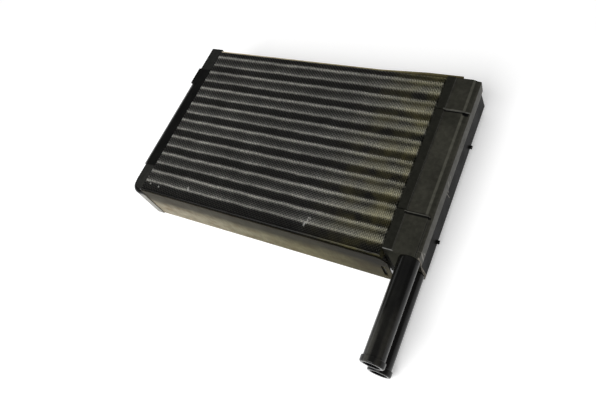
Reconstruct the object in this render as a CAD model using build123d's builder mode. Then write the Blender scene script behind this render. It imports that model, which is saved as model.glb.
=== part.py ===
"""Heater core of a vehicle's heating box, lying on its back face.

A pack of thin aluminium fins is crossed by two rows of round tubes. The tubes end in header plates,
and plastic tanks close round the plates: a shallow one on the left that turns the coolant round and
a deeper one on the right with two chambers and both pipes. Lengths are in millimetres. X runs from
the return tank to the pipe tank, the pipes point to -Y and the core's face looks up. The origin is
on the ground under the middle of the fins.
"""

import os

from build123d import *

# Core, between the two tanks. Every place below follows from these three sizes.
core_length = 222.0
core_width = 158.0
core_thickness = 42.0
half_length = core_length / 2
half_width = core_width / 2

# Fins, and the folded wall that their ends make along each side of the pack.
fin_count = 79
fin_thickness = 0.3
fin_end_wall = 0.5
fin_pitch = core_length / fin_count

# Tubes, one row above the other. Each is round and drawn with this many flats.
tubes_per_row = 8
tube_diameter = 8.0
tube_wall = 0.6
tube_sides = 20
tube_clearance = 0.05
back_tube_inset = 10.6
front_tube_inset = 14.68
row_share = 0.5
back_tube_y = half_width - back_tube_inset
tube_pitch = (core_width - back_tube_inset - front_tube_inset) / (tubes_per_row - 1)
lower_row_z = core_thickness * (1 - row_share) / 2
upper_row_z = core_thickness - lower_row_z

# Side plates beside the folded fin ends. The front one has a rounded corner and a slot in front of
# the pipe tank's foot. The back one is bent outward to pass behind that foot.
plate_gauge = 0.8
plate_end_gap = 0.1
front_plate_gap = 0.9
front_plate_left_drop = 0.6
front_plate_right_drop = 3.4
front_plate_past_core = 5.0
front_plate_corner = 9.0
slot_length = 18.0
slot_width = 3.0
slot_z = 15.5
back_plate_gap = 0.3
back_plate_bend = 2.2
back_plate_bend_start = 55.0
back_plate_bend_end = 95.0
back_plate_past_core = 12.5

# Feet of both tanks, round the header plates and gaskets.
foot_gap = 0.2
foot_depth = 7.0
foot_wall = 2.0
plate_recess = 0.8
header_gauge = 2.0
gasket_thickness = 2.0
gasket_width = 2.0
seat_clearance = 0.1
tube_end_beyond_plate = 1.0
foot_inner_x = half_length + foot_gap
foot_outer_x = foot_inner_x + foot_depth
header_x = half_length + plate_recess
gasket_x = header_x + header_gauge
seat_x = gasket_x + gasket_thickness
tube_length = 2 * (gasket_x + tube_end_beyond_plate)

# Chambers inside the tanks.
tank_wall = 2.0
chamber_margin = 3.5
partition = 2.0
chamber_bottom_z = chamber_margin
chamber_top_z = core_thickness - chamber_margin

# Pipe tank: where it ends beside the core, and the two grooves between its blocks.
pipe_tank_back_overhang = 1.9
pipe_tank_front_inset = 5.5
back_block_length = 31.9
front_block_length = 32.5
pipe_tank_back = half_width + pipe_tank_back_overhang
pipe_tank_front = -half_width + pipe_tank_front_inset
back_groove_y = pipe_tank_back - back_block_length
front_groove_y = pipe_tank_front + front_block_length
groove_width = 0.9
groove_depth = 1.6

# Pipe tank's section, as depths beyond the foot and drops below the core's face.
foot_step = 0.7
block_step = 0.3
top_depth = 13.3
block_top_depth = 16.2
step_depth = 16.5
step_drop = 2.1
corner_depth = 19.4
corner_drop = 2.4
wall_depth = 19.9
wall_foot_drop = 13.0
waist_depth = 18.9
waist_drop = 17.5
lobe_depth = 20.9
lobe_z = 10.0
base_depth = 18.8
lobe_radius = 4.0
waist_radius = 3.0
edge_radius = 0.8
chamber_depth = 15.8

# Pipes, pegs and the gusset beside the upper pipe.
pipe_depth = 11.8
pipe_spacing = 24.8
pipe_diameter = 15.2
pipe_bore = 12.0
pipe_reach = 76.5
spigot_diameter = 13.6
bead_diameter = 17.2
bead_length = 4.5
bead_chamfer = 0.7
peg_diameter = 3.0
peg_length = 2.0
peg_base_depth = 20.4
back_peg_inset = 10.0
front_peg_inset = 5.5
peg_z = 11.0
gusset_thickness = 3.0
gusset_reach = 8.5
pipe_x = foot_outer_x + pipe_depth
pipe_end_y = pipe_tank_front - pipe_reach
lower_pipe_z = core_thickness / 2 - pipe_spacing / 2
upper_pipe_z = core_thickness / 2 + pipe_spacing / 2

# Return tank: how far each of its blocks stands beyond the foot, and where the blocks meet. The
# front block's lower body comes out as far as the middle, under a cap that is set back.
return_back_overhang = 3.1
return_front_overhang = 2.4
return_back_length = 25.6
return_second_length = 18.0
return_front_length = 27.9
return_tank_back = half_width + return_back_overhang
return_tank_front = -half_width - return_front_overhang
return_middle_depth = 8.8
return_back_depth = 5.1
return_second_depth = 7.1
return_cap_depth = 3.1
return_cap_inset = 1.7
return_cap_corner = 9.4
return_body_drop = 4.5
return_body_corner = 10.0
return_body_edge = 2.5
return_back_block_y = return_tank_back - return_back_length
return_middle_back = return_back_block_y - return_second_length
return_middle_front = return_tank_front + return_front_length
return_shoulder = 6.0
return_pocket_inset = 8.4
rib_first_step = 16.0
rib_second_step = 7.5
rib_width = 1.2
return_middle_x = -foot_outer_x - return_middle_depth
return_back_x = -foot_outer_x - return_back_depth
return_second_x = -foot_outer_x - return_second_depth
return_cap_x = -foot_outer_x - return_cap_depth

# Cutting tools run this far past the faces that they open.
cut_over = 1.0

os.makedirs("parts", exist_ok=True)


def box(x_range, y_range, z_range, mode=Mode.ADD):
    """Box between two limits along each axis, in the part being built."""
    size = [high - low for low, high in (x_range, y_range, z_range)]
    middle = [(high + low) / 2 for low, high in (x_range, y_range, z_range)]
    with Locations(tuple(middle)):
        Box(*size, mode=mode)


def save(builder, name):
    """Name the finished part and write its file."""
    builder.part.label = name
    export_step(builder.part, f"parts/{name}.step")


# Fin pack: upright aluminium plates across the tubes, their ends folded into a wall on each side.
# The tubes' channels are open between the plates' upper, middle and lower strips.
with BuildPart() as fin_pack:
    with BuildSketch(Plane.XY):
        with GridLocations(fin_pitch, 1, fin_count, 1):
            Rectangle(fin_thickness, core_width)
        with GridLocations(1, core_width - fin_end_wall, 1, 2):
            Rectangle(core_length, fin_end_wall)
    extrude(amount=core_thickness)
    with BuildSketch(Plane.YZ.offset(-half_length)):
        with Locations((0, lower_row_z), (0, upper_row_z)):
            Rectangle(core_width - 2 * fin_end_wall, tube_diameter + 2 * tube_clearance)
    extrude(amount=core_length, mode=Mode.SUBTRACT)
save(fin_pack, "fin_pack")

# Tubes: drawn aluminium, expanded into the header plates at both ends.
for row, row_z in (("upper", upper_row_z), ("lower", lower_row_z)):
    for number in range(1, tubes_per_row + 1):
        tube_y = back_tube_y - (number - 1) * tube_pitch
        with BuildPart() as tube:
            with BuildSketch(Plane.YZ.offset(-tube_length / 2)):
                with Locations((tube_y, row_z)):
                    RegularPolygon(tube_diameter / 2, tube_sides)
                    RegularPolygon(tube_diameter / 2 - tube_wall, tube_sides, mode=Mode.SUBTRACT)
            extrude(amount=tube_length)
        save(tube, f"{row}_tube_{number}")

# Side plates: aluminium sheet that stands beside the fin ends. This is the back one.
plate_left_x = -half_length + plate_end_gap
back_plate_y = half_width + back_plate_gap
back_plate_right_x = half_length + back_plate_past_core
with BuildPart() as back_side_plate:
    with BuildSketch(Plane.XY):
        with BuildLine():
            Polyline(
                (plate_left_x, back_plate_y),
                (back_plate_bend_start, back_plate_y),
                (back_plate_bend_end, back_plate_y + back_plate_bend),
                (back_plate_right_x, back_plate_y + back_plate_bend),
                (back_plate_right_x, back_plate_y + back_plate_bend + plate_gauge),
                (back_plate_bend_end, back_plate_y + back_plate_bend + plate_gauge),
                (back_plate_bend_start, back_plate_y + plate_gauge),
                (plate_left_x, back_plate_y + plate_gauge),
                close=True,
            )
        make_face()
    extrude(amount=core_thickness)
save(back_side_plate, "back_side_plate")

# The front one's upper edge falls a little toward the pipe tank.
plate_right_x = half_length + front_plate_past_core
with BuildPart() as front_side_plate:
    with BuildSketch(Plane.XZ.offset(half_width + front_plate_gap)) as plate_outline:
        with BuildLine():
            Polyline(
                (plate_left_x, 0),
                (plate_right_x, 0),
                (plate_right_x, core_thickness - front_plate_right_drop),
                (plate_left_x, core_thickness - front_plate_left_drop),
                close=True,
            )
        make_face()
        right_corners = plate_outline.vertices().group_by(Axis.X)[-1]
        fillet(right_corners.sort_by(Axis.Y)[-1], radius=front_plate_corner)
        with Locations((half_length, slot_z)):
            SlotOverall(slot_length, slot_width, rotation=90, mode=Mode.SUBTRACT)
    extrude(amount=plate_gauge)
save(front_side_plate, "front_side_plate")

# Header plates: thick aluminium plates with one hole for each tube end.
# Gaskets: rubber frames between plate and tank, the right one with a bar on the partition.
plate_z = (foot_wall + seat_clearance, core_thickness - foot_wall - seat_clearance)
pocket_y = {
    "right": (pipe_tank_front + foot_wall, pipe_tank_back - foot_wall),
    "left": (return_tank_front + return_pocket_inset, return_tank_back - foot_wall),
}
for side, sign in (("left", -1), ("right", 1)):
    plate_y = (pocket_y[side][0] + seat_clearance, pocket_y[side][1] - seat_clearance)
    with BuildPart() as header_plate:
        box(sorted((sign * header_x, sign * gasket_x)), plate_y, plate_z)
        with BuildSketch(Plane.YZ.offset(-gasket_x)):
            with Locations((back_tube_y - (tubes_per_row - 1) * tube_pitch / 2, core_thickness / 2)):
                with GridLocations(tube_pitch, upper_row_z - lower_row_z, tubes_per_row, 2):
                    RegularPolygon(tube_diameter / 2 + tube_clearance, tube_sides)
        extrude(amount=2 * gasket_x, mode=Mode.SUBTRACT)
    save(header_plate, f"{side}_header_plate")

    gasket_x_range = sorted((sign * gasket_x, sign * seat_x))
    opening_y = (plate_y[0] + gasket_width, plate_y[1] - gasket_width)
    opening_z = (plate_z[0] + gasket_width, plate_z[1] - gasket_width)
    with BuildPart() as gasket:
        box(gasket_x_range, plate_y, plate_z)
        box(gasket_x_range, opening_y, opening_z, Mode.SUBTRACT)
        if side == "right":
            bar_z = (core_thickness / 2 - partition / 2, core_thickness / 2 + partition / 2)
            box(gasket_x_range, opening_y, bar_z)
    save(gasket, f"{side}_gasket")


def tank_section(back_y, top_z, flat_depth):
    """Section of the pipe tank: flat top, low ledge, upright wall, waist and the lower lobe."""
    with BuildSketch(Plane.XZ.offset(-back_y)) as section:
        with BuildLine():
            Polyline(
                (foot_outer_x, foot_step),
                (foot_outer_x, top_z),
                (foot_outer_x + flat_depth, top_z),
                (foot_outer_x + step_depth, core_thickness - step_drop),
                (foot_outer_x + corner_depth, core_thickness - corner_drop),
                (foot_outer_x + wall_depth, core_thickness - wall_foot_drop),
                (foot_outer_x + waist_depth, core_thickness - waist_drop),
                (foot_outer_x + lobe_depth, lobe_z),
                (foot_outer_x + base_depth, foot_step),
                close=True,
            )
        make_face()
        for depth, height, radius in (
            (lobe_depth, lobe_z, lobe_radius),
            (waist_depth, core_thickness - waist_drop, waist_radius),
            (corner_depth, core_thickness - corner_drop, edge_radius),
        ):
            place = Vertex(foot_outer_x + depth, height, 0)
            fillet(section.vertices().sort_by_distance(place)[0], radius=radius)
    return section.sketch


# Pipe tank: one black moulding with the foot, two chambers, the pegs and the gusset.
with BuildPart() as pipe_tank:
    box((foot_inner_x, foot_outer_x), (pipe_tank_front, pipe_tank_back), (0, core_thickness))
    block_top_z = core_thickness - foot_step
    middle_section = tank_section(back_groove_y, block_top_z - block_step, top_depth)
    extrude(middle_section, amount=back_groove_y - front_groove_y)
    back_section = tank_section(pipe_tank_back, block_top_z, top_depth)
    extrude(back_section, amount=pipe_tank_back - back_groove_y)
    front_section = tank_section(front_groove_y, block_top_z, block_top_depth)
    extrude(front_section, amount=front_groove_y - pipe_tank_front)

    # Narrow grooves where the middle meets the end blocks, across the top and the foot.
    for groove_y in (back_groove_y, front_groove_y):
        box(
            (foot_inner_x, foot_outer_x + lobe_depth),
            (groove_y - groove_width / 2, groove_y + groove_width / 2),
            (core_thickness - groove_depth, core_thickness + cut_over),
            Mode.SUBTRACT,
        )

    # Pegs on the lobe, and the gusset that reaches from the front wall to the upper pipe.
    with BuildSketch(Plane.YZ.offset(foot_outer_x + peg_base_depth)):
        with Locations((back_groove_y - back_peg_inset, peg_z), (front_groove_y - front_peg_inset, peg_z)):
            Circle(peg_diameter / 2)
    extrude(amount=peg_length)
    gusset_x = pipe_x - pipe_diameter / 2 - seat_clearance
    with BuildSketch(Plane.XY.offset(upper_pipe_z - gusset_thickness / 2)):
        with BuildLine():
            Polyline(
                (foot_inner_x + foot_wall, pipe_tank_front),
                (gusset_x, pipe_tank_front),
                (gusset_x, pipe_tank_front - gusset_reach),
                close=True,
            )
        make_face()
    extrude(amount=gusset_thickness)

    # Pocket for header plate and gasket, the two chambers and the holes that the pipes seat in.
    box((foot_inner_x, seat_x), pocket_y["right"], (foot_wall, core_thickness - foot_wall), Mode.SUBTRACT)
    chamber_x = (seat_x, foot_outer_x + chamber_depth)
    chamber_y = (pocket_y["right"][0] + gasket_width, pocket_y["right"][1] - gasket_width)
    upper_chamber_z = (core_thickness / 2 + partition / 2, chamber_top_z)
    lower_chamber_z = (chamber_bottom_z, core_thickness / 2 - partition / 2)
    box(chamber_x, chamber_y, upper_chamber_z, Mode.SUBTRACT)
    box(chamber_x, chamber_y, lower_chamber_z, Mode.SUBTRACT)
    with BuildSketch(Plane.XZ.offset(-pipe_tank_front)):
        with Locations((pipe_x, lower_pipe_z), (pipe_x, upper_pipe_z)):
            Circle(spigot_diameter / 2 + tube_clearance)
    extrude(amount=-(chamber_y[0] - pipe_tank_front), mode=Mode.SUBTRACT)
save(pipe_tank, "pipe_tank")

# Pipes: each has a spigot welded into the tank's front wall and a bead at its end for the hose.
for name, pipe_z in (("lower_pipe", lower_pipe_z), ("upper_pipe", upper_pipe_z)):
    with BuildPart() as pipe:
        with BuildSketch(Plane.XY):
            with BuildLine():
                Polyline(
                    (pipe_bore / 2, pipe_end_y),
                    (bead_diameter / 2 - bead_chamfer, pipe_end_y),
                    (bead_diameter / 2, pipe_end_y + bead_chamfer),
                    (bead_diameter / 2, pipe_end_y + bead_length),
                    (pipe_diameter / 2, pipe_end_y + bead_length),
                    (pipe_diameter / 2, pipe_tank_front),
                    (spigot_diameter / 2, pipe_tank_front),
                    (spigot_diameter / 2, chamber_y[0]),
                    (pipe_bore / 2, chamber_y[0]),
                    close=True,
                )
            make_face()
        revolve(axis=Axis.Y)
    pipe.part = pipe.part.moved(Location((pipe_x, 0, pipe_z)))
    save(pipe, name)

# Return tank: one shallow black moulding with a single chamber and a rounded outer side.
with BuildPart() as return_tank:
    # Lower body of the front block, with its upper edge softened.
    with BuildSketch(Plane.XY) as body_plan:
        with BuildLine():
            Polyline(
                (-foot_inner_x, return_tank_front),
                (-foot_inner_x, return_middle_front),
                (return_middle_x, return_middle_front),
                (return_middle_x, return_tank_front),
                close=True,
            )
        make_face()
        outer_points = body_plan.vertices().group_by(Axis.X)[0]
        fillet(outer_points.sort_by(Axis.Y)[0], radius=return_body_corner)
    extrude(amount=core_thickness - return_body_drop)
    upper_edges = return_tank.edges().group_by(Axis.Z)[-1]
    outer_edges = upper_edges.filter_by(lambda edge: edge.center().X < -foot_inner_x - cut_over)
    fillet(outer_edges.filter_by(lambda edge: edge.center().Y < return_middle_front), return_body_edge)

    # Foot, back blocks and the front block's cap, all of full height.
    with BuildSketch(Plane.XY) as plan:
        with BuildLine():
            Polyline(
                (-foot_inner_x, return_tank_front + return_cap_inset),
                (-foot_inner_x, return_tank_back),
                (return_back_x, return_tank_back),
                (return_back_x, return_back_block_y),
                (return_second_x, return_back_block_y),
                (return_second_x, return_middle_back),
                (-foot_outer_x, return_middle_back),
                (-foot_outer_x, return_middle_front),
                (return_cap_x, return_middle_front),
                (return_cap_x, return_tank_front + return_cap_inset),
                close=True,
            )
        make_face()
        front_points = plan.vertices().group_by(Axis.Y)[0]
        fillet(front_points.sort_by(Axis.X)[0], radius=return_cap_corner)
    extrude(amount=core_thickness)

    # Middle, with both outer edges rounded.
    with BuildSketch(Plane.XZ.offset(-return_middle_back)) as shell_section:
        with BuildLine():
            Polyline(
                (-foot_outer_x, foot_step),
                (return_middle_x, foot_step),
                (return_middle_x, core_thickness - foot_step),
                (-foot_outer_x, core_thickness - foot_step),
                close=True,
            )
        make_face()
        fillet(shell_section.vertices().group_by(Axis.X)[0], radius=return_shoulder)
    extrude(amount=return_middle_back - return_middle_front)

    # Two low ribs across the top near the front block.
    for rib_step in (rib_first_step, rib_second_step):
        rib_y = return_middle_front + rib_step
        box(
            (return_cap_x, -foot_outer_x),
            (rib_y - rib_width / 2, rib_y + rib_width / 2),
            (core_thickness / 2, core_thickness),
        )

    # Pocket for header plate and gasket, and the chamber behind it.
    box((-seat_x, -foot_inner_x), pocket_y["left"], (foot_wall, core_thickness - foot_wall), Mode.SUBTRACT)
    chamber_y = (pocket_y["left"][0] + gasket_width, pocket_y["left"][1] - gasket_width)
    chamber_wall_x = return_cap_x + tank_wall
    box((chamber_wall_x, -seat_x), chamber_y, (chamber_bottom_z, chamber_top_z), Mode.SUBTRACT)
    box(
        (return_middle_x + tank_wall, chamber_wall_x),
        (return_middle_front + tank_wall, return_middle_back - tank_wall),
        (chamber_bottom_z + tank_wall, chamber_top_z - tank_wall),
        Mode.SUBTRACT,
    )
save(return_tank, "return_tank")
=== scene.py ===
import math
import random

import bmesh
import bpy
from mathutils import Matrix, Vector


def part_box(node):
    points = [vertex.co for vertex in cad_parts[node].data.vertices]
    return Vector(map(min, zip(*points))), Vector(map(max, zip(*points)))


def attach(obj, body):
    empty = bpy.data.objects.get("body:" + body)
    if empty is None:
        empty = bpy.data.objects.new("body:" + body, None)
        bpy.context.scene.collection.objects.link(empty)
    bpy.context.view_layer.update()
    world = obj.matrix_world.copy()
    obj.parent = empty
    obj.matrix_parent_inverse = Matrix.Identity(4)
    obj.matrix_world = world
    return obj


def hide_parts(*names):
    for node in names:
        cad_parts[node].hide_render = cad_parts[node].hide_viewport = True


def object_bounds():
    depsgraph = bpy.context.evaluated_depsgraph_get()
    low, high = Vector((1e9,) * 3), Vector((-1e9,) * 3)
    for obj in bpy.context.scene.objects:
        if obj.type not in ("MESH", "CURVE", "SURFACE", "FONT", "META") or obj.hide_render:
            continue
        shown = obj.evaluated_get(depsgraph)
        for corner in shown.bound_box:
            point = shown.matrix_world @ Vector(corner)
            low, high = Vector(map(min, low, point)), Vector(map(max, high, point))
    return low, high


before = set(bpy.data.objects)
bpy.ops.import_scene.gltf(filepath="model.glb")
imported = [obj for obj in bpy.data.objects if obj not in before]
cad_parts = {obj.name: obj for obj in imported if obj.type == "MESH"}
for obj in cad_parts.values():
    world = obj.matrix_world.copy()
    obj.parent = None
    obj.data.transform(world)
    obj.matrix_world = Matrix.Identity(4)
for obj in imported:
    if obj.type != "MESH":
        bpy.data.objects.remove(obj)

cad_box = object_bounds()


# Fins. A stack of thin aluminium plates stands across the tubes, each plate lightly folded into
# upright facets and bent over at both ends, so that the bent ends make a wall along each side.
# Their dark and light bands are painted light and shade, and coolant has stained them beside the
# pipe tank.
MM = 0.001
core_low, core_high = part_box("fin_pack")
FIN_COUNT = 158
FIN_PITCH = (core_high[0] - core_low[0]) / FIN_COUNT
FIN_THICKNESS = 0.14 * MM
FIN_FOLD = 0.16 * MM
FIN_LIP = 3.0 * MM
FIN_LEAN = 0.09 * MM
FIN_END_BEND = 1.28 * MM
FIN_SEED = 7
FIN_METALLIC = 0.1
FIN_ROUGHNESS = 0.5
# The first fin stands this share of a pitch in from the end of the core.
FIRST_FIN = 0.12
# The folds follow one another at FIN_BAND, counted from FIN_BAND_START, and the bands follow them.
FIN_BAND = 9.48 * MM
FIN_BAND_START = 73.14 * MM

# Painted light and shade over one dark band and one light band, as (share of the two, grey) pairs.
# The light bands have painted highlights at their edges, and their middle is dull at the return tank
# and filled at the pipe tank.
PAINTED_BANDS = (
    (0.0, 0.09), (0.13, 0.09), (0.19, 0.32), (0.235, 0.95), (0.28, 0.90),
    (0.33, 0.42), (0.40, 0.18), (0.50, 0.17), (0.60, 0.25), (0.70, 0.40),
    (0.765, 0.95), (0.795, 0.75), (0.84, 0.22), (0.89, 0.10), (1.0, 0.09),
)
PAINTED_BANDS_FILLED = (
    (0.0, 0.09), (0.13, 0.09), (0.19, 0.30), (0.24, 1.0), (0.31, 0.70),
    (0.40, 0.22), (0.48, 0.25), (0.58, 0.64), (0.70, 0.72), (0.77, 1.0),
    (0.84, 0.30), (0.89, 0.10), (1.0, 0.09),
)
FILLED_ALONG = (20 * MM, 105 * MM)
BAND_WAVE = 1.6 * MM
BAND_WAVE_PATTERN = (55, 2)
NOISE_MIDDLE = 0.5
# Past BANDS_END the bent front ends of the fins are painted in shade.
BANDS_END = -76.2 * MM
BANDS_FADE = 1.0 * MM
END_SHADE = (0.05, 0.05, 0.05)

# Tint of the metal at the return tank and at the pipe tank, and where it turns from one to the
# other. A noise pattern is its scale, detail and stretch, and here the brightness it gives follows.
CLEAN_TINT = (1.0, 0.985, 0.91)
TANK_END_TINT = (1.0, 0.98, 0.80)
TINT_ALONG = (50 * MM, 110 * MM)
FIN_GRAIN = ((700, 3, (1, 0.5, 1)), ((0.3, 0.6), (0.7, 1.25)))
FIN_CLOUDS = ((60, 4), ((0.3, 0.78), (0.7, 1.2)))

# A fine hatch of painted shade stands for dimples pressed into the fins, on alternate sides of
# neighbours. It is painted weakest where the metal is bright.
DIMPLE_ROW = 1.35 * MM
DIMPLE_SLANT = -0.6
DIMPLE_SHADE = (0.03, 0.03, 0.03)
DIMPLE_FADE_ON_BRIGHT = 0.8

# Dried coolant fills the bands beside the pipe tank, in yellow-brown patches.
STAIN_COLOUR = (0.22, 0.20, 0.055)
STAIN_TINT = (1.0, 0.95, 0.68)
STAIN_PATCHES = ((75, 4), ((0.40, 0.0), (0.66, 1.0)))
STAIN_ALONG = (45 * MM, 108 * MM)
STAIN_SHARE = 0.6

# Bright nicks and bent fins: middle along X and Y, half width and half length in millimetres, and
# lean. Each one fades between two squared distances from its middle, counted in half widths.
BARE_METAL = (0.95, 0.94, 0.90)
NICK_EDGE = (1.0, 0.6)
FIN_NICKS = (
    (48.9, -69.9, 1.0, 3.4, 0.35),
    (50.3, -65.6, 1.5, 0.7, 0.0),
    (-95.4, -73.1, 0.9, 0.8, 0.0),
    (-105.2, -72.1, 0.8, 0.7, 0.0),
    (-66.1, -66.9, 0.5, 3.0, -0.13),
    (-64.0, -68.8, 0.7, 0.8, 0.0),
)


def add_material(name):
    """Node material with its node tree and shader, ready for links."""
    material = bpy.data.materials.new(name)
    material.use_nodes = True
    tree = material.node_tree
    return material, tree, tree.nodes["Principled BSDF"]


def add_piece(name, mesh, material, slot, *replaced):
    """Object in the scene that rides on the core, with one material."""
    piece = bpy.data.objects.new(name, mesh)
    bpy.context.scene.collection.objects.link(piece)
    mesh.materials.clear()
    mesh.materials.append(material)
    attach(piece, "root")
    if replaced:
        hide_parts(*replaced)
    return piece


def feed(tree, socket, value):
    """Gives an input its value: a socket, a number or a colour."""
    if isinstance(value, (int, float)):
        socket.default_value = value
    elif isinstance(value, tuple):
        socket.default_value = (*value, 1)
    else:
        tree.links.new(value, socket)


def place_axis(tree, axis):
    """Socket with the place along one axis, in metres, in the core's own frame."""
    where = tree.nodes.new("ShaderNodeTexCoord")
    split = tree.nodes.new("ShaderNodeSeparateXYZ")
    tree.links.new(where.outputs["Object"], split.inputs[0])
    return split.outputs[axis]


def calculate(tree, operation, first, second=0):
    """Math node on one or two sockets or numbers."""
    node = tree.nodes.new("ShaderNodeMath")
    node.operation = operation
    feed(tree, node.inputs[0], first)
    feed(tree, node.inputs[1], second)
    return node.outputs[0]


def spread(tree, value, low, high):
    """Socket that goes from 0 to 1 while value goes from low to high."""
    node = tree.nodes.new("ShaderNodeMapRange")
    node.inputs["From Min"].default_value = low
    node.inputs["From Max"].default_value = high
    tree.links.new(value, node.inputs["Value"])
    return node.outputs[0]


def ramp(tree, value, stops):
    """Color Ramp with (place, grey or colour) stops."""
    node = tree.nodes.new("ShaderNodeValToRGB")
    elements = node.color_ramp.elements
    while len(elements) < len(stops):
        elements.new(0.5)
    for element, (place, colour) in zip(elements, stops):
        element.position = place
        if isinstance(colour, (int, float)):
            colour = (colour, colour, colour)
        element.color = (*colour, 1)
    tree.links.new(value, node.inputs[0])
    return node.outputs[0]


def noise(tree, scale, detail, stretch=(1, 1, 1)):
    """Noise pattern in the core's own frame, stretched along the axes."""
    where = tree.nodes.new("ShaderNodeTexCoord")
    mapping = tree.nodes.new("ShaderNodeMapping")
    mapping.inputs["Scale"].default_value = stretch
    pattern = tree.nodes.new("ShaderNodeTexNoise")
    pattern.inputs["Scale"].default_value = scale
    pattern.inputs["Detail"].default_value = detail
    tree.links.new(where.outputs["Object"], mapping.inputs[0])
    tree.links.new(mapping.outputs[0], pattern.inputs["Vector"])
    return pattern.outputs["Fac"]


def mottle(tree, pattern, stops):
    """Color Ramp over a noise pattern, given as its scale, detail and stretch."""
    return ramp(tree, noise(tree, *pattern), stops)


def blend(tree, share, first, second, kind="MIX"):
    """Mix of two colours, each a socket or a colour."""
    node = tree.nodes.new("ShaderNodeMix")
    node.data_type = "RGBA"
    node.blend_type = kind
    # Inputs 6 and 7 and output 2 are the ones that the node uses for colours.
    feed(tree, node.inputs[0], share)
    feed(tree, node.inputs[6], first)
    feed(tree, node.inputs[7], second)
    return node.outputs[2]


def multiply(tree, first, second):
    """Product of two colours."""
    return blend(tree, 1.0, first, second, "MULTIPLY")


def fin_path(x, lean):
    """Plan of one fin from its front bend to its back bend, as points in the plane."""
    front, back = core_low[1] + FIN_THICKNESS, core_high[1] - FIN_THICKNESS
    points = [(x + FIN_END_BEND, front), (x + lean, front)]
    edge = FIN_BAND_START
    folds = []
    while edge > front:
        if edge < back:
            folds.append(edge)
        edge -= FIN_BAND
    for number, y in enumerate(reversed(folds)):
        side = 1 if number % 2 else -1
        points.append((x + lean + side * FIN_FOLD, y))
    points += [(x + lean, back), (x + FIN_END_BEND, back)]
    return points


def widen(path, thickness):
    """Two paths, half the thickness to each side of the given one."""
    near, far = [], []
    for number, point in enumerate(path):
        before = Vector(path[max(number - 1, 0)])
        after = Vector(path[min(number + 1, len(path) - 1)])
        along = (after - before).normalized()
        across = Vector((-along.y, along.x)) * thickness / 2
        near.append(Vector(point) + across)
        far.append(Vector(point) - across)
    return near, far


def add_fin(mesh, rings):
    """Closed thin plate through three rings of vertices, from the lowest to the highest."""
    count = len(rings[0])
    for lower, upper in zip(rings, rings[1:]):
        for i in range(count):
            j = (i + 1) % count
            mesh.faces.new((lower[i], lower[j], upper[j], upper[i]))
    for ring, turned in ((rings[0], False), (rings[-1], True)):
        for i in range(count // 2 - 1):
            corners = [ring[i], ring[i + 1], ring[count - 2 - i], ring[count - 1 - i]]
            mesh.faces.new(corners if turned else corners[::-1])


def fin_mesh():
    """All fins, the upper lip of each leaning a little."""
    rng = random.Random(FIN_SEED)
    mesh = bmesh.new()
    levels = (core_low[2], core_high[2] - FIN_LIP, core_high[2])
    for number in range(FIN_COUNT):
        x = core_low[0] + (number + FIRST_FIN) * FIN_PITCH
        rings = []
        for level in levels:
            lean = rng.uniform(-FIN_LEAN, FIN_LEAN) if level == levels[-1] else 0
            near, far = widen(fin_path(x, lean), FIN_THICKNESS)
            outline = near + far[::-1]
            rings.append([mesh.verts.new((p.x, p.y, level)) for p in outline])
        add_fin(mesh, rings)
    bmesh.ops.recalc_face_normals(mesh, faces=mesh.faces)
    data = bpy.data.meshes.new("fins")
    mesh.to_mesh(data)
    mesh.free()
    return data


def fin_shade(tree):
    """Painted brightness of the metal: bands of painted light and shade along the tubes, and painted
    shade on the front ends.
    """
    y = place_axis(tree, 1)
    uneven = calculate(tree, "SUBTRACT", noise(tree, *BAND_WAVE_PATTERN), NOISE_MIDDLE)
    wavy = calculate(tree, "ADD", y, calculate(tree, "MULTIPLY", uneven, BAND_WAVE))
    from_start = calculate(tree, "SUBTRACT", FIN_BAND_START + FIN_BAND / 2, wavy)
    part = calculate(tree, "FRACT", calculate(tree, "DIVIDE", from_start, 2 * FIN_BAND))
    filled = spread(tree, place_axis(tree, 0), *FILLED_ALONG)
    shade = blend(tree, filled, ramp(tree, part, PAINTED_BANDS), ramp(tree, part, PAINTED_BANDS_FILLED))
    past_bands = spread(tree, y, BANDS_END, BANDS_END - BANDS_FADE)
    return blend(tree, past_bands, shade, END_SHADE)


def fin_dimples(tree, shade):
    """Socket that is up to 1 in the dimples, and 0 between them."""
    depth = calculate(tree, "SUBTRACT", core_high[2], place_axis(tree, 2))
    slant = calculate(tree, "MULTIPLY", depth, DIMPLE_SLANT)
    slanted = calculate(tree, "ADD", place_axis(tree, 1), slant)
    over_fins = calculate(tree, "PINGPONG", place_axis(tree, 0), FIN_PITCH)
    over_rows = calculate(tree, "PINGPONG", slanted, DIMPLE_ROW)
    odd_fin = calculate(tree, "GREATER_THAN", over_fins, FIN_PITCH / 2)
    odd_row = calculate(tree, "GREATER_THAN", over_rows, DIMPLE_ROW / 2)
    dimple = calculate(tree, "ABSOLUTE", calculate(tree, "SUBTRACT", odd_fin, odd_row))
    brightness = calculate(tree, "MULTIPLY", shade, DIMPLE_FADE_ON_BRIGHT)
    return calculate(tree, "MULTIPLY", dimple, calculate(tree, "SUBTRACT", 1.0, brightness))


def nick_mask(tree, x, y, nick):
    """Socket that is 1 inside one leaning oval in the plane of x and y, and 0 outside it."""
    middle_x, middle_y, half_width, half_length, lean = nick
    from_y = calculate(tree, "SUBTRACT", y, middle_y * MM)
    from_x = calculate(tree, "SUBTRACT", x, middle_x * MM)
    leaned = calculate(tree, "SUBTRACT", from_x, calculate(tree, "MULTIPLY", from_y, lean))
    over = calculate(tree, "DIVIDE", leaned, half_width * MM)
    along = calculate(tree, "DIVIDE", from_y, half_length * MM)
    squares = [calculate(tree, "POWER", part, 2) for part in (over, along)]
    return spread(tree, calculate(tree, "ADD", *squares), *NICK_EDGE)


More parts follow.
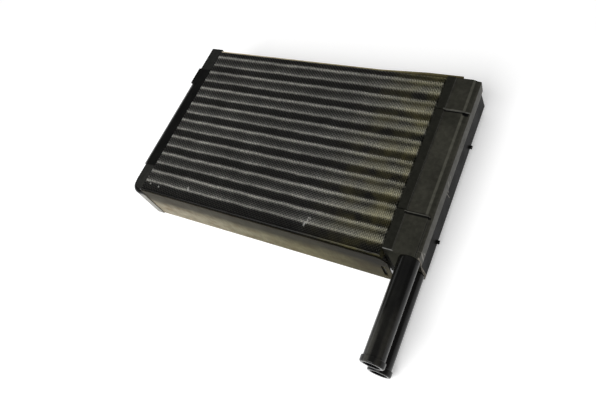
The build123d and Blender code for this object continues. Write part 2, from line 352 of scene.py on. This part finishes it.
def fin_material():
    """Aluminium with bands of painted light and shade along the tubes, and stains at the pipe tank's
    end.
    """
    material, tree, shader = add_material("fin_aluminium_painted_bands")
    x, y = place_axis(tree, 0), place_axis(tree, 1)
    # Painted light and shade in bands along the tubes.
    shade = fin_shade(tree)
    tint = blend(tree, spread(tree, x, *TINT_ALONG), CLEAN_TINT, TANK_END_TINT)
    metal = multiply(tree, tint, shade)
    # Painted shade in the dimples.
    metal = blend(tree, fin_dimples(tree, shade), metal, multiply(tree, metal, DIMPLE_SHADE))
    metal = multiply(tree, metal, mottle(tree, *FIN_GRAIN))
    metal = multiply(tree, metal, mottle(tree, *FIN_CLOUDS))

    near_tank = spread(tree, x, *STAIN_ALONG)
    stained = calculate(tree, "MULTIPLY", near_tank, mottle(tree, *STAIN_PATCHES))
    stain = multiply(tree, blend(tree, 1.0, STAIN_COLOUR, shade, "SCREEN"), STAIN_TINT)
    colour = blend(tree, calculate(tree, "MULTIPLY", stained, STAIN_SHARE), metal, stain)

    for nick in FIN_NICKS:
        colour = blend(tree, nick_mask(tree, x, y, nick), colour, BARE_METAL)
    tree.links.new(colour, shader.inputs["Base Color"])
    shader.inputs["Metallic"].default_value = FIN_METALLIC
    shader.inputs["Roughness"].default_value = FIN_ROUGHNESS
    return material


add_piece("fins", fin_mesh(), fin_material(), "fin_aluminium", "fin_pack")


# Tubes. Drawn aluminium, pushed through the fins and expanded into the header plates. They show
# only as grey rods between the fins, so the finish is plain drawn metal with fine lines along it.
DRAWN_LINES = ((300, 3, (0.05, 1, 1)), ((0.3, 0.22), (0.7, 0.42)))
DRAWN_METALLIC = 0.8
DRAWN_ROUGHNESS = 0.4


def tube_material():
    """Drawn aluminium with fine lines along the tube."""
    material, tree, shader = add_material("drawn_tube_aluminium")
    tree.links.new(mottle(tree, *DRAWN_LINES), shader.inputs["Base Color"])
    shader.inputs["Metallic"].default_value = DRAWN_METALLIC
    shader.inputs["Roughness"].default_value = DRAWN_ROUGHNESS
    return material


def finish_node(name, material):
    """Gives a piece of the core its material."""
    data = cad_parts[name].data
    data.materials.clear()
    data.materials.append(material)


drawn_aluminium = tube_material()
for node_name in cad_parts:
    if "_tube_" in node_name:
        finish_node(node_name, drawn_aluminium)


# Header plates and gaskets. Thick aluminium plates hold the tube ends, and rubber frames seal them
# in the feet of the tanks. Only their edges can be seen, in the gap between fins and tank.
GASKET_DUST = ((240, 4), ((0.4, 0.012), (0.8, 0.035)))
GASKET_ROUGHNESS = 0.85


def gasket_material():
    """Black rubber, dusty in patches."""
    material, tree, shader = add_material("gasket_rubber")
    tree.links.new(mottle(tree, *GASKET_DUST), shader.inputs["Base Color"])
    shader.inputs["Roughness"].default_value = GASKET_ROUGHNESS
    return material


gasket_rubber = gasket_material()
for side in ("left", "right"):
    finish_node(f"{side}_header_plate", drawn_aluminium)
    finish_node(f"{side}_gasket", gasket_rubber)


# Side plates. Flat aluminium sheet against the bent fin ends, clean and pale at the return tank
# and brown with dried coolant at the pipe tank.
SHEET_METALLIC = 0.1
SHEET_ROUGHNESS = 0.65
SHEET_GLOSS = 0.1
# Colour along the sheet, from the return tank to the pipe tank, as (share of the way, colour) pairs.
SHEET_ALONG = (-111 * MM, 116 * MM)
SHEET_COLOURS = (
    (0.05, (0.29, 0.262, 0.20)),
    (0.45, (0.172, 0.157, 0.104)),
    (0.70, (0.122, 0.109, 0.060)),
    (0.95, (0.044, 0.037, 0.0175)),
)
SHEET_CLOUDS = (26, 5, (0.6, 1, 1.6))
SHEET_CLOUD_SHARE = 0.3
SHEET_WAVE = 12 * MM
SHEET_MOTTLE = (
    (150, 4, (0.6, 1, 0.8)),
    ((0.34, (0.76, 0.69, 0.59)), (0.50, (0.97, 0.96, 0.92)), (0.66, (1.14, 1.15, 1.12))),
)
SHEET_FINE = ((420, 4, (1, 1, 0.3)), ((0.3, 0.75), (0.7, 1.0)))
SHEET_BUMP = 0.25
SHEET_BUMP_HEIGHT = 0.6 * MM
# Share of the height, and the brightness there: the front sheet has painted shade above and painted
# light below, and the back sheet grows lighter up to a painted highlight along its top edge.
FRONT_SHEET_PAINTED_LIGHT = ((0.0, 1.1), (0.40, 1.0), (0.56, 0.62), (0.68, 0.22), (1.0, 0.15))
BACK_SHEET_PAINTED_LIGHT = ((0.0, 0.8), (0.5, 1.0), (0.9, 1.4), (1.0, 2.4))


def bump(tree, shader, height, strength, distance):
    """Bump on the shader from a height socket."""
    node = tree.nodes.new("ShaderNodeBump")
    node.inputs["Strength"].default_value = strength
    node.inputs["Distance"].default_value = distance
    tree.links.new(height, node.inputs["Height"])
    tree.links.new(node.outputs[0], shader.inputs["Normal"])


def sheet_material(name, painted_light_stops):
    """Aluminium sheet, stained toward the pipe tank, with painted light and shade given up its
    height.
    """
    material, tree, shader = add_material(name)
    clouds = noise(tree, *SHEET_CLOUDS)
    uneven = calculate(tree, "SUBTRACT", clouds, NOISE_MIDDLE)
    along = spread(tree, place_axis(tree, 0), *SHEET_ALONG)
    stained = calculate(tree, "ADD", along, calculate(tree, "MULTIPLY", uneven, SHEET_CLOUD_SHARE))
    wavy = calculate(tree, "MULTIPLY", uneven, SHEET_WAVE)
    height = calculate(tree, "ADD", place_axis(tree, 2), wavy)
    # Painted light and shade up the sheet's height.
    shaded = ramp(tree, spread(tree, height, 0.0, core_high[2]), painted_light_stops)
    colour = multiply(tree, ramp(tree, stained, SHEET_COLOURS), shaded)
    colour = multiply(tree, colour, mottle(tree, *SHEET_MOTTLE))
    colour = multiply(tree, colour, mottle(tree, *SHEET_FINE))
    tree.links.new(colour, shader.inputs["Base Color"])
    shader.inputs["Metallic"].default_value = SHEET_METALLIC
    shader.inputs["Roughness"].default_value = SHEET_ROUGHNESS
    shader.inputs["Specular IOR Level"].default_value = SHEET_GLOSS
    bump(tree, shader, clouds, SHEET_BUMP, SHEET_BUMP_HEIGHT)
    return material


finish_node("front_side_plate", sheet_material("stained_front_sheet_painted_light", FRONT_SHEET_PAINTED_LIGHT))
finish_node("back_side_plate", sheet_material("stained_back_sheet_painted_light", BACK_SHEET_PAINTED_LIGHT))


# Tanks. Both are glass-filled black nylon mouldings with softened edges: a shallow return tank and
# a deeper pipe tank that takes both pipes. Each closes round its header plate and gasket.
MOULDED_EDGE = 0.45 * MM
EDGE_SEGMENTS = 2
SHARP_CORNER = math.radians(34)
FLAT_CORNER = math.radians(0.5)
SAME_PLACE = 1e-6
NYLON_DUST_PATTERN = (38, 5)
NYLON_DUST_RANGE = (0.35, 0.75)
NYLON_GRIME = ((330, 4), ((0.3, 0.75), (0.7, 1.15)))
NYLON_GLOSS_PATTERN = (90, 4)
NYLON_GLOSS_RANGE = (0.3, 0.7)
NYLON_GRAIN = (1500, 3)
NYLON_GRAIN_BUMP = 0.10
NYLON_GRAIN_HEIGHT = 0.2 * MM
SCRATCH_COLOUR = (0.30, 0.28, 0.25)

TANK_DUST = ((0.023, 0.0227, 0.0178), (0.038, 0.037, 0.0292))
TANK_ROUGHNESS = (0.30, 0.42)
TANK_GLOSS = 0.03
# Places on the pipe tank where its black is painted lighter or darker: a darker strip at its foot,
# painted highlights along the top's edge, the shoulder, the groove edges and the front end, a
# painted reflection of the ground on the outer wall, and painted shadow in the grooves and on the
# lower lobe: limits along X, Y and Z in millimetres, with None for an axis that has no limits, the
# width of the soft edge, and the colour.
TANK_PAINTED_LIGHT_AND_SHADE = (
    (((110.0, 117.9), None, (40.0, 42.5)), 0.4, (0.014, 0.014, 0.011)),
    # Painted reflection of the ground on the outer wall.
    (((136.2, 150.0), None, (24.5, 39.0)), 0.8, (0.085, 0.082, 0.068)),
    # Painted shade on the lower lobe.
    (((137.0, 150.0), None, (-1.0, 23.5)), 1.0, (0.003, 0.003, 0.0026)),
    # Painted highlights along the top's edge and the shoulder.
    (((118.1, 118.5), None, (40.0, 42.5)), 0.3, (0.052, 0.051, 0.044)),
    (((131.9, 133.2), (-40.5, 81.0), (39.5, 42.5)), 0.5, (0.068, 0.067, 0.054)),
    (((134.4, 135.0), (-74.0, -41.5), (39.5, 42.5)), 0.5, (0.045, 0.044, 0.037)),
    # Painted shadow in the back groove and its pocket, with painted highlights along its edge.
    (((117.5, 136.0), (48.0, 49.2), (39.5, 42.5)), 0.5, (0.004, 0.004, 0.0035)),
    (((132.4, 136.2), (46.9, 49.2), (34.0, 42.5)), 0.8, (0.002, 0.002, 0.002)),
    (((117.0, 135.0), (49.5, 50.1), (39.5, 42.5)), 0.3, (0.085, 0.084, 0.072)),
    (((134.0, 140.0), (49.5, 50.3), (24.0, 40.5)), 0.3, (0.10, 0.10, 0.09)),
    # Painted shadow in the front groove, with a painted highlight along its edge.
    (((117.5, 136.0), (-43.6, -42.4), (39.5, 42.5)), 0.5, (0.004, 0.004, 0.0035)),
    (((117.0, 135.0), (-42.1, -41.5), (39.5, 42.5)), 0.3, (0.065, 0.064, 0.055)),
    # Painted highlights along the front end.
    (((136.9, 140.0), (-74.0, -73.1), (2.0, 40.0)), 0.3, (0.22, 0.20, 0.17)),
    (((110.0, 118.6), (-74.0, -73.2), (41.0, 42.5)), 0.2, (0.16, 0.16, 0.15)),
)
# Scratches on its outer wall: middle along Y and Z, half widths along both, and lean.
TANK_SCRATCHES = (
    (-9.5, 29.0, 0.6, 8.0, 0.12),
    (-12.3, 21.0, 0.4, 4.5, -0.1),
    (-4.0, 33.0, 0.35, 3.0, 0.2),
    (-69.3, 33.0, 1.0, 7.0, 0.1),
    (-66.0, 30.0, 0.4, 5.0, -0.15),
)

# The return tank's nylon is several times darker than the pipe tank's.
RETURN_DUST = ((0.003, 0.003, 0.0028), (0.007, 0.007, 0.006))
RETURN_ROUGHNESS = (0.16, 0.24)
RETURN_GLOSS = 0.16
# Painted light on the return tank: a painted reflection of the ground on its front wall below the
# cap, and painted light on the tops of both end blocks.
RETURN_PAINTED_LIGHT = (
    # Painted reflection of the ground on the front wall.
    (((-128.0, -110.0), (-83.0, -79.5), (0.0, 33.0)), 1.5, (0.17, 0.16, 0.135)),
    # Painted light on the end blocks.
    (((-128.0, -110.0), (-83.0, -56.0), (40.5, 42.5)), 1.5, (0.021, 0.021, 0.019)),
    (((-128.0, -110.0), (57.0, 83.0), (40.5, 42.5)), 1.5, (0.015, 0.0155, 0.014)),
)


def inside(tree, limits, soft):
    """Socket that is 1 between the limits given for each axis, and falls to 0 just outside them."""
    widths = soft if isinstance(soft, tuple) else (soft, soft, soft)
    mask = 1.0
    for axis, (pair, width) in enumerate(zip(limits, widths)):
        if pair is not None:
            place = place_axis(tree, axis)
            above = spread(tree, place, (pair[0] - width) * MM, pair[0] * MM)
            below = spread(tree, place, (pair[1] + width) * MM, pair[1] * MM)
            between = calculate(tree, "MULTIPLY", above, below)
            mask = calculate(tree, "MULTIPLY", mask, between)
    return mask


def nylon_material(name, dust_colours, roughness, gloss, painted_places, scratches=()):
    """Black glass-filled nylon, a little dusty, with places of painted light and shade, scratches
    and a moulded grain.
    """
    material, tree, shader = add_material(name)
    colour = mottle(tree, NYLON_DUST_PATTERN, tuple(zip(NYLON_DUST_RANGE, dust_colours)))
    # Places of painted light and shade.
    for limits, soft, painted_colour in painted_places:
        colour = blend(tree, inside(tree, limits, soft), colour, painted_colour)
    y, z = place_axis(tree, 1), place_axis(tree, 2)
    for scratch in scratches:
        colour = blend(tree, nick_mask(tree, y, z, scratch), colour, SCRATCH_COLOUR)
    colour = multiply(tree, colour, mottle(tree, *NYLON_GRIME))
    tree.links.new(colour, shader.inputs["Base Color"])
    rough = mottle(tree, NYLON_GLOSS_PATTERN, tuple(zip(NYLON_GLOSS_RANGE, roughness)))
    tree.links.new(rough, shader.inputs["Roughness"])
    shader.inputs["Specular IOR Level"].default_value = gloss
    bump(tree, shader, noise(tree, *NYLON_GRAIN), NYLON_GRAIN_BUMP, NYLON_GRAIN_HEIGHT)
    return material


def moulded_copy(node_name, material):
    """Copy of a moulding with its corners softened, which stands for the sharp-edged one."""
    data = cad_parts[node_name].data.copy()
    mesh = bmesh.new()
    mesh.from_mesh(data)
    bmesh.ops.remove_doubles(mesh, verts=mesh.verts, dist=SAME_PLACE)
    bmesh.ops.dissolve_limit(mesh, angle_limit=FLAT_CORNER, verts=mesh.verts, edges=mesh.edges)
    mesh.to_mesh(data)
    mesh.free()
    piece = add_piece(f"{node_name}_moulding", data, material, "tank_plastic", node_name)
    bevel = piece.modifiers.new("softened corners", "BEVEL")
    bevel.width = MOULDED_EDGE
    bevel.segments = EDGE_SEGMENTS
    bevel.limit_method = "ANGLE"
    bevel.angle_limit = SHARP_CORNER
    bevel.harden_normals = True
    for polygon in data.polygons:
        polygon.use_smooth = True
    data.set_sharp_from_angle(angle=SHARP_CORNER)
    shading = piece.modifiers.new("even shading", "WEIGHTED_NORMAL")
    shading.keep_sharp = True


tank_nylon = nylon_material(
    "black_tank_nylon", TANK_DUST, TANK_ROUGHNESS, TANK_GLOSS, TANK_PAINTED_LIGHT_AND_SHADE, TANK_SCRATCHES
)
moulded_copy("pipe_tank", tank_nylon)
return_nylon = nylon_material(
    "darker_tank_nylon", RETURN_DUST, RETURN_ROUGHNESS, RETURN_GLOSS, RETURN_PAINTED_LIGHT
)
moulded_copy("return_tank", return_nylon)


# Pipes. Two straight tubes of the same black nylon, smoother than the tank, each with a spigot
# welded into the tank's front wall and a bead at its end that holds the hose.
PIPE_DUST = ((0.002, 0.002, 0.0019), (0.008, 0.0078, 0.0066))
PIPE_ROUGHNESS = (0.16, 0.26)
PIPE_GLOSS = 0.18
# Painted highlights on the upper pipe toward its end, and a thin painted highlight along its right
# side.
# Where three soft edges are given, they are those along X, Y and Z.
PIPE_PAINTED_HIGHLIGHTS = (
    (((126.0, 127.8), (-160.0, -136.0), (38.0, 42.5)), (1.6, 24.0, 1.0), (0.040, 0.039, 0.034)),
    (((134.2, 135.8), (-160.0, -128.0), (36.0, 42.0)), (1.6, 24.0, 1.0), (0.020, 0.019, 0.016)),
    (((136.9, 139.0), (-152.0, -76.0), (31.2, 33.0)), 0.3, (0.085, 0.078, 0.062)),
)
pipe_nylon = nylon_material("glossy_pipe_nylon", PIPE_DUST, PIPE_ROUGHNESS, PIPE_GLOSS, PIPE_PAINTED_HIGHLIGHTS)
for pipe_name in ("upper_pipe", "lower_pipe"):
    moulded_copy(pipe_name, pipe_nylon)


# Ground and light. The core lies on a white ground in a studio. The room is brightest low on the
# left and dimmer on the right and overhead, and one broad soft lamp stands in front.
GROUND_SIZE = 6.0
GROUND_GAP = 0.2 * MM
GROUND_COLOUR = (0.82, 0.82, 0.82)
GROUND_ROUGHNESS = 0.9
GROUND_GLOW = 0.35
# Brightness of the room up its height, as (upward part of the direction, grey) pairs. Its left
# side turns into its right one between two sideways parts of the direction.
SKY_LEFT = (
    (0.0, 1.0), (0.16, 1.2), (0.24, 1.8), (0.34, 1.0),
    (0.44, 0.1), (0.68, 0.1), (0.82, 0.45), (1.0, 0.3),
)
SKY_RIGHT = ((0.0, 0.25), (0.6, 0.25), (0.82, 0.45), (1.0, 0.3))
SKY_LEFT_TO_RIGHT = (-0.25, 0.35)
SKY_STRENGTH = 1.0
LAMP_POWER = 18.0
LAMP_SIZE = 0.9
LAMP_PLACE = (-0.12, -0.90, 1.02)


def ground_material():
    """White ground that keeps the shadow and looks white to the camera."""
    material, tree, shader = add_material("white_ground")
    shader.inputs["Base Color"].default_value = (*GROUND_COLOUR, 1)
    shader.inputs["Roughness"].default_value = GROUND_ROUGHNESS
    shader.inputs["Specular IOR Level"].default_value = 0.0
    rays = tree.nodes.new("ShaderNodeLightPath").outputs
    seen = calculate(tree, "MAXIMUM", rays["Is Camera Ray"], rays["Is Glossy Ray"])
    seen = calculate(tree, "MAXIMUM", seen, rays["Is Transmission Ray"])
    glow = calculate(tree, "MULTIPLY", seen, GROUND_GLOW)
    tree.links.new(glow, shader.inputs["Emission Strength"])
    shader.inputs["Emission Color"].default_value = (1, 1, 1, 1)
    return material


ground_mesh = bpy.data.meshes.new("ground")
half = GROUND_SIZE / 2
corners = [(-half, -half, 0), (half, -half, 0), (half, half, 0), (-half, half, 0)]
ground_mesh.from_pydata(corners, [], [(0, 1, 2, 3)])
ground_mesh.materials.append(ground_material())
ground = bpy.data.objects.new("ground", ground_mesh)
ground.location.z = cad_box[0][2] - GROUND_GAP
bpy.context.scene.collection.objects.link(ground)

world = bpy.data.worlds.new("studio")
bpy.context.scene.world = world
world.use_nodes = True
room = world.node_tree
direction = room.nodes.new("ShaderNodeSeparateXYZ")
room.links.new(room.nodes.new("ShaderNodeTexCoord").outputs["Generated"], direction.inputs[0])
room_left = ramp(room, direction.outputs[2], SKY_LEFT)
room_right = ramp(room, direction.outputs[2], SKY_RIGHT)
toward_right = spread(room, direction.outputs[0], *SKY_LEFT_TO_RIGHT)
background = room.nodes["Background"]
room.links.new(blend(room, toward_right, room_left, room_right), background.inputs["Color"])
background.inputs["Strength"].default_value = SKY_STRENGTH

lamp_data = bpy.data.lights.new("broad_lamp", "AREA")
lamp_data.energy = LAMP_POWER
lamp_data.size = LAMP_SIZE
lamp = bpy.data.objects.new("broad_lamp", lamp_data)
lamp.location = LAMP_PLACE
lamp.rotation_euler = (-Vector(LAMP_PLACE)).to_track_quat("-Z", "Y").to_euler()
bpy.context.scene.collection.objects.link(lamp)


# Camera. It looks down on the core from beyond the pipe end, with its right side dipped, as was
# worked out from the edges of the core, the tanks and the pipes in the photograph.
CAMERA_PLACE = (0.2222, -0.2006, 0.3825)
CAMERA_RIGHT = Vector((0.8673, 0.3932, -0.3054))
CAMERA_AHEAD = Vector((-0.4492, 0.3536, -0.8205))
CAMERA_LENS = 32.61
CAMERA_SENSOR = 36
CAMERA_NEAREST = 10 * MM

camera_data = bpy.data.cameras.new("camera")
camera_data.sensor_width = CAMERA_SENSOR
camera_data.lens = CAMERA_LENS
camera_data.clip_start = CAMERA_NEAREST
camera = bpy.data.objects.new("camera", camera_data)
bpy.context.scene.collection.objects.link(camera)
camera_up = CAMERA_RIGHT.cross(CAMERA_AHEAD)
turned = Matrix((CAMERA_RIGHT, camera_up, -CAMERA_AHEAD)).transposed().to_4x4()
camera.matrix_world = Matrix.Translation(CAMERA_PLACE) @ turned
bpy.context.scene.camera = camera
bpy.context.scene.view_settings.view_transform = "Standard"
